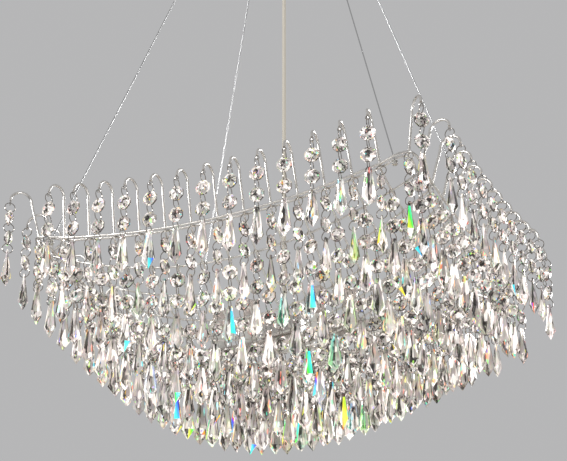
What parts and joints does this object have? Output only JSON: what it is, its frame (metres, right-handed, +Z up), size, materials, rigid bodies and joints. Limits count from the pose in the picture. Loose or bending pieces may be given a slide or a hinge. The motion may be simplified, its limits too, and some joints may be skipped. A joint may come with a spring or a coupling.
{
  "type": "crystal pendant light",
  "caption": "Wire-basket pendant light on four thin wires, edged with candy-cane hooks and hung all over with faceted crystal strands.",
  "frame": {"origin": "on the ceiling, at the middle of the ceiling bracket", "axes": "+Z up, X along the long side of the frame, Y along its short side"},
  "size_m": [0.4528, 0.3574, 0.7031],
  "materials": {
    "crystal": "clear faceted lead crystal, polished",
    "chrome": "polished chrome plate",
    "steel_wire": "fine stranded steel wire",
    "nickel": "satin nickel",
    "zinc": "bright zinc plate",
    "clear_cable": "clear sheath over tinned and copper cores",
    "ceramic": "glazed white",
    "plastic": "moulded white",
    "bulb_glass": "clear glass capsule"
  },
  "bodies": {
    "root": {"ceiling_bracket": "zinc", "canopy_studs": "zinc", "canopy": "chrome", "cap_nuts": "chrome", "terminal_block": "plastic", "gripper_barrels": "nickel", "suspension_wire_1": "steel_wire", "suspension_wire_2": "steel_wire", "suspension_wire_3": "steel_wire", "suspension_wire_4": "steel_wire", "wire_stops": "chrome", "power_cable": "clear_cable", "cross_wires": "chrome", "long_wires": "chrome", "hooks": "chrome", "outer_rim": "chrome", "inner_rim": "chrome", "lamp_bar": "chrome", "junction_box": "chrome", "box_cover": "chrome", "lamp_holders": "ceramic", "lamp_leads": "plastic", "cable_glands": "chrome", "crystals_row_01": "crystal", "crystals_row_02": "crystal", "crystals_row_03": "crystal", "crystals_row_04": "crystal", "crystals_row_05": "crystal", "crystals_row_06": "crystal", "crystals_row_07": "crystal", "crystals_row_08": "crystal", "crystals_row_09": "crystal", "crystals_row_10": "crystal", "crystals_row_11": "crystal", "crystals_row_12": "crystal", "front_hook_crystals": "crystal", "back_hook_crystals": "crystal", "left_hook_crystals": "crystal", "right_hook_crystals": "crystal", "hook_eyes": "chrome"},
    "front_loose_strand": {"front_loose_strand": "crystal"},
    "back_loose_strand": {"back_loose_strand": "crystal"},
    "left_loose_strand": {"left_loose_strand": "crystal"},
    "right_loose_strand": {"right_loose_strand": "crystal"},
    "corner_chain_1": {"corner_chain_1": "crystal"},
    "corner_drop_1": {"corner_drop_1": "crystal"},
    "corner_chain_2": {"corner_chain_2": "crystal"},
    "corner_drop_2": {"corner_drop_2": "crystal"},
    "corner_chain_3": {"corner_chain_3": "crystal"},
    "corner_drop_3": {"corner_drop_3": "crystal"},
    "corner_chain_4": {"corner_chain_4": "crystal"},
    "corner_drop_4": {"corner_drop_4": "crystal"},
    "bulb_1": {"bulb_1": "bulb_glass"},
    "release_collar_1": {"release_collar_1": "nickel"},
    "bulb_2": {"bulb_2": "bulb_glass"},
    "release_collar_2": {"release_collar_2": "nickel"},
    "bulb_3": {"bulb_3": "bulb_glass"},
    "release_collar_3": {"release_collar_3": "nickel"},
    "bulb_4": {"bulb_4": "bulb_glass"},
    "release_collar_4": {"release_collar_4": "nickel"}
  },
  "joints": [
    {"name": "front_loose_strand_swing", "type": "hinge", "parent": "root", "child": "front_loose_strand", "pos_m": [0, -0.17235, -0.50469], "axis": [-1, 0, 0], "range_deg": [-8, 25]},
    {"name": "back_loose_strand_swing", "type": "hinge", "parent": "root", "child": "back_loose_strand", "pos_m": [0, 0.17235, -0.50469], "axis": [1, 0, 0], "range_deg": [-8, 25]},
    {"name": "left_loose_strand_swing", "type": "hinge", "parent": "root", "child": "left_loose_strand", "pos_m": [-0.21999, -0.01304, -0.49392], "axis": [-0.02, 0.9998, 0], "range_deg": [-8, 25]},
    {"name": "right_loose_strand_swing", "type": "hinge", "parent": "root", "child": "right_loose_strand", "pos_m": [0.21999, -0.01304, -0.49392], "axis": [-0.02, -0.9998, 0], "range_deg": [-8, 25]},
    {"name": "corner_chain_1_swing", "type": "hinge", "parent": "root", "child": "corner_chain_1", "pos_m": [-0.21092, -0.16327, -0.4822], "axis": [-0.7071, 0.7071, 0], "range_deg": [-5, 25]},
    {"name": "corner_drop_1_swing", "type": "hinge", "parent": "corner_chain_1", "child": "corner_drop_1", "pos_m": [-0.21092, -0.16327, -0.5355], "axis": [-0.7071, 0.7071, 0], "range_deg": [-9, 18]},
    {"name": "corner_chain_2_swing", "type": "hinge", "parent": "root", "child": "corner_chain_2", "pos_m": [0.21092, -0.16327, -0.4822], "axis": [-0.7071, -0.7071, 0], "range_deg": [-5, 25]},
    {"name": "corner_drop_2_swing", "type": "hinge", "parent": "corner_chain_2", "child": "corner_drop_2", "pos_m": [0.21092, -0.16327, -0.5355], "axis": [-0.7071, -0.7071, 0], "range_deg": [-9, 18]},
    {"name": "corner_chain_3_swing", "type": "hinge", "parent": "root", "child": "corner_chain_3", "pos_m": [0.21092, 0.16327, -0.4822], "axis": [0.7071, -0.7071, 0], "range_deg": [-5, 25]},
    {"name": "corner_drop_3_swing", "type": "hinge", "parent": "corner_chain_3", "child": "corner_drop_3", "pos_m": [0.21092, 0.16327, -0.5355], "axis": [0.7071, -0.7071, 0], "range_deg": [-9, 18]},
    {"name": "corner_chain_4_swing", "type": "hinge", "parent": "root", "child": "corner_chain_4", "pos_m": [-0.21092, 0.16327, -0.4822], "axis": [0.7071, 0.7071, 0], "range_deg": [-5, 25]},
    {"name": "corner_drop_4_swing", "type": "hinge", "parent": "corner_chain_4", "child": "corner_drop_4", "pos_m": [-0.21092, 0.16327, -0.5355], "axis": [0.7071, 0.7071, 0], "range_deg": [-9, 18]},
    {"name": "bulb_1_pull", "type": "slide", "parent": "root", "child": "bulb_1", "axis": [0, 0, 1], "range_m": [0, 0.012]},
    {"name": "release_collar_1_push", "type": "slide", "parent": "root", "child": "release_collar_1", "axis": [0, 0, 1], "range_m": [0, 0.0015], "stiffness_N_per_m": 400},
    {"name": "bulb_2_pull", "type": "slide", "parent": "root", "child": "bulb_2", "axis": [0, 0, 1], "range_m": [0, 0.012]},
    {"name": "release_collar_2_push", "type": "slide", "parent": "root", "child": "release_collar_2", "axis": [0, 0, 1], "range_m": [0, 0.0015], "stiffness_N_per_m": 400},
    {"name": "bulb_3_pull", "type": "slide", "parent": "root", "child": "bulb_3", "axis": [0, 0, 1], "range_m": [0, 0.012]},
    {"name": "release_collar_3_push", "type": "slide", "parent": "root", "child": "release_collar_3", "axis": [0, 0, 1], "range_m": [0, 0.0015], "stiffness_N_per_m": 400},
    {"name": "bulb_4_pull", "type": "slide", "parent": "root", "child": "bulb_4", "axis": [0, 0, 1], "range_m": [0, 0.012]},
    {"name": "release_collar_4_push", "type": "slide", "parent": "root", "child": "release_collar_4", "axis": [0, 0, 1], "range_m": [0, 0.0015], "stiffness_N_per_m": 400}
  ]
}
